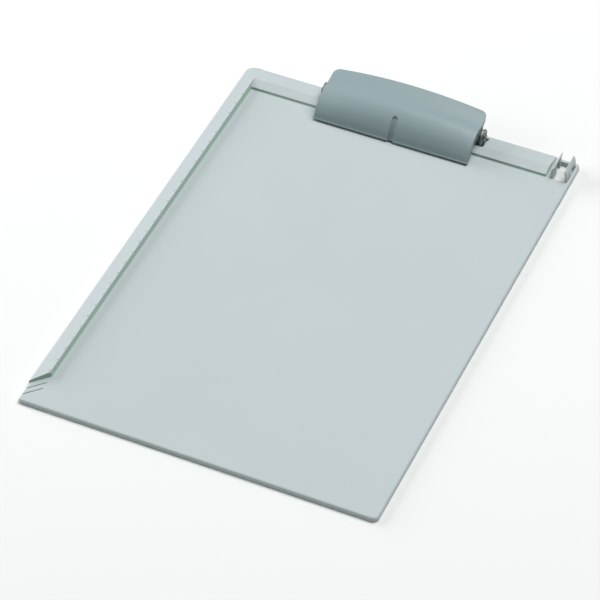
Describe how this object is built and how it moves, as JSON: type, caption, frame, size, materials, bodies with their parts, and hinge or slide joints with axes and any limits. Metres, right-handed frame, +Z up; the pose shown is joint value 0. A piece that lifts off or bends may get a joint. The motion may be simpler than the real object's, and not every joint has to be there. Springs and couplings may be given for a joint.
{
  "type": "clipboard",
  "caption": "A4 clipboard: moulded plastic board with a raised rail along two edges, a sprung lever clip that opens on a steel axle, and a two-leaf pen holder.",
  "frame": {"origin": "centre of the board's flat underside", "axes": "+X towards the pen holder's side, +Y along the board towards the clip, +Z up out of the writing surface"},
  "size_m": [0.2316, 0.33, 0.0236],
  "materials": {
    "board_plastic": "fine-grained matte moulding, pale blue-grey",
    "clip_plastic": "fine-grained satin moulding, mid blue-grey",
    "grip_rubber": "matte black",
    "bracket_steel": "plain pressed sheet with a dull zinc plate",
    "axle_steel": "bright drawn rod",
    "spring_steel": "plated spring wire",
    "rivet_aluminium": "formed, satin"
  },
  "bodies": {
    "base": {"board": "board_plastic", "hinge_bracket": "bracket_steel", "hinge_axle": "axle_steel", "axle_cap_left": "spring_steel", "axle_cap_right": "spring_steel", "rivet_left": "rivet_aluminium", "rivet_right": "rivet_aluminium", "torsion_spring_left": "spring_steel", "torsion_spring_right": "spring_steel"},
    "clip": {"clip_lever": "clip_plastic", "grip_strip": "grip_rubber"},
    "leaf_left": {"pen_leaf_left": "board_plastic"},
    "leaf_right": {"pen_leaf_right": "board_plastic"}
  },
  "joints": [
    {"name": "clip_pivot", "type": "hinge", "parent": "base", "child": "clip", "pos_m": [-0.0029, 0.15415, 0.0102], "axis": [-1, 0, 0], "range_deg": [0, 24], "stiffness_Nm_per_rad": 0.54, "springref_deg": -23.49, "deforming": ["torsion_spring_left", "torsion_spring_right"]},
    {"name": "pen_leaf_left_flex", "type": "hinge", "parent": "base", "child": "leaf_left", "pos_m": [0.1035, 0.1514, 0.0018], "axis": [0, -1, 0], "range_deg": [0, 6], "stiffness_Nm_per_rad": 0.18},
    {"name": "pen_leaf_right_flex", "type": "hinge", "parent": "base", "child": "leaf_right", "pos_m": [0.1127, 0.1514, 0.0018], "axis": [0, 1, 0], "range_deg": [0, 6], "stiffness_Nm_per_rad": 0.18}
  ]
}
